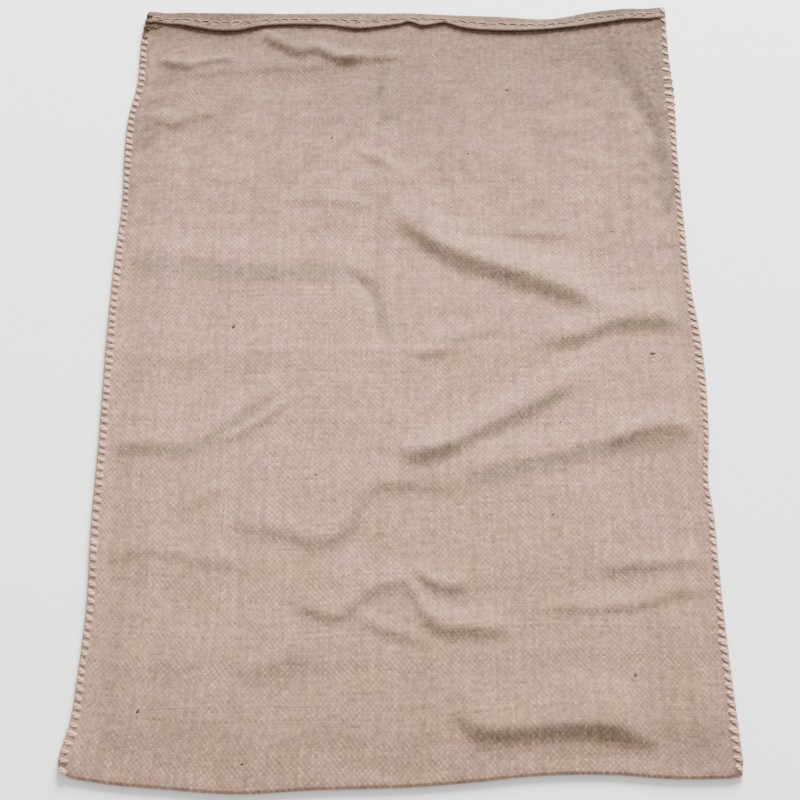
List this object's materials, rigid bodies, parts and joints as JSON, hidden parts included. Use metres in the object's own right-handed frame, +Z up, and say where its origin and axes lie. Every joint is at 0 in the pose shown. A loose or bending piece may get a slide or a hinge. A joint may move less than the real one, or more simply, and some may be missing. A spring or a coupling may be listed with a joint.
{
  "type": "jute sack",
  "caption": "Empty hessian sack lying flat, folded at the foot, with a turned hem at its open mouth and twine-whipped side seams.",
  "frame": {"origin": "middle of the sack's box on the surface it lies on", "axes": "+Y along the sack towards its mouth, +X across it to the right seen from above with the mouth away, +Z up"},
  "size_m": [0.614, 0.9111, 0.0174],
  "materials": {
    "hessian": "plain-woven jute hessian, matt and slightly hairy",
    "jute_twine": "thick pale jute twine, whipped over the cloth's edges"
  },
  "bodies": {
    "root": {"sack_cloth": "hessian", "side_seam_left": "jute_twine", "side_seam_right": "jute_twine"}
  },
  "joints": []
}
